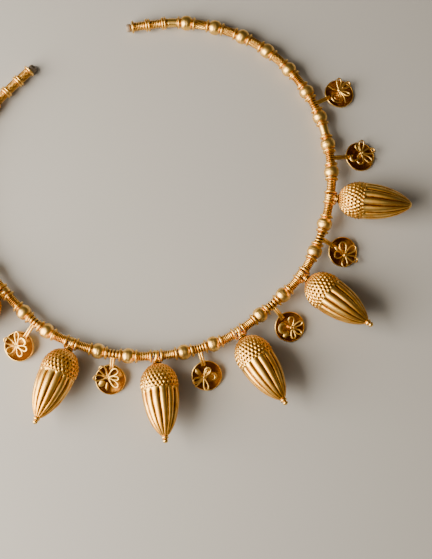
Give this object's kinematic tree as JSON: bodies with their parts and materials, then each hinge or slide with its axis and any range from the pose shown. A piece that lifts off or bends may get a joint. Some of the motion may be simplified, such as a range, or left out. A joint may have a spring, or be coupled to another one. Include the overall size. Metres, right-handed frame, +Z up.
{
  "type": "acorn pendant necklace",
  "caption": "Gold necklace of ribbed tube beads and round beads, hung with lobed acorns and dished rosettes, lying loose in an open loop.",
  "frame": {"origin": "under the middle of the necklace as it lies, on the surface it rests on", "axes": "+Z up, square to the surface; +X from the side with the plain end curve towards the first acorn; -Y towards the pendants at the front"},
  "size_m": [0.173, 0.1552, 0.0136],
  "materials": {
    "worked_gold": "satin gold with darker recesses",
    "burnished_gold": "burnished gold, worn smooth",
    "tarnished_end_bead": "dull brown tarnish"
  },
  "bodies": {
    "root": {"acorn_1": "worked_gold", "acorn_2": "worked_gold", "acorn_3": "worked_gold", "acorn_4": "worked_gold", "acorn_5": "worked_gold", "acorn_6": "worked_gold", "bead_1": "burnished_gold", "bead_10": "burnished_gold", "bead_11": "burnished_gold", "bead_12": "burnished_gold", "bead_13": "burnished_gold", "bead_14": "burnished_gold", "bead_2": "burnished_gold", "bead_3": "burnished_gold", "bead_4": "burnished_gold", "bead_5": "burnished_gold", "bead_6": "burnished_gold", "bead_7": "burnished_gold", "bead_8": "burnished_gold", "bead_9": "burnished_gold", "end_bead_left": "tarnished_end_bead", "end_bead_right": "tarnished_end_bead", "end_tubes_left": "worked_gold", "end_tubes_right": "worked_gold", "rosette_1": "worked_gold", "rosette_2": "worked_gold", "rosette_3": "worked_gold", "rosette_4": "worked_gold", "rosette_5": "worked_gold", "rosette_6": "worked_gold", "rosette_7": "worked_gold", "rosette_8": "worked_gold", "rosette_9": "worked_gold", "tube_1": "worked_gold", "tube_10": "worked_gold", "tube_11": "worked_gold", "tube_12": "worked_gold", "tube_2": "worked_gold", "tube_3": "worked_gold", "tube_4": "worked_gold", "tube_5": "worked_gold", "tube_6": "worked_gold", "tube_7": "worked_gold", "tube_8": "worked_gold", "tube_9": "worked_gold", "tube_and_bead_1": "worked_gold", "tube_and_bead_10": "worked_gold", "tube_and_bead_11": "worked_gold", "tube_and_bead_12": "worked_gold", "tube_and_bead_2": "worked_gold", "tube_and_bead_3": "worked_gold", "tube_and_bead_4": "worked_gold", "tube_and_bead_5": "worked_gold", "tube_and_bead_6": "worked_gold", "tube_and_bead_7": "worked_gold", "tube_and_bead_8": "worked_gold", "tube_and_bead_9": "worked_gold"}
  },
  "joints": []
}
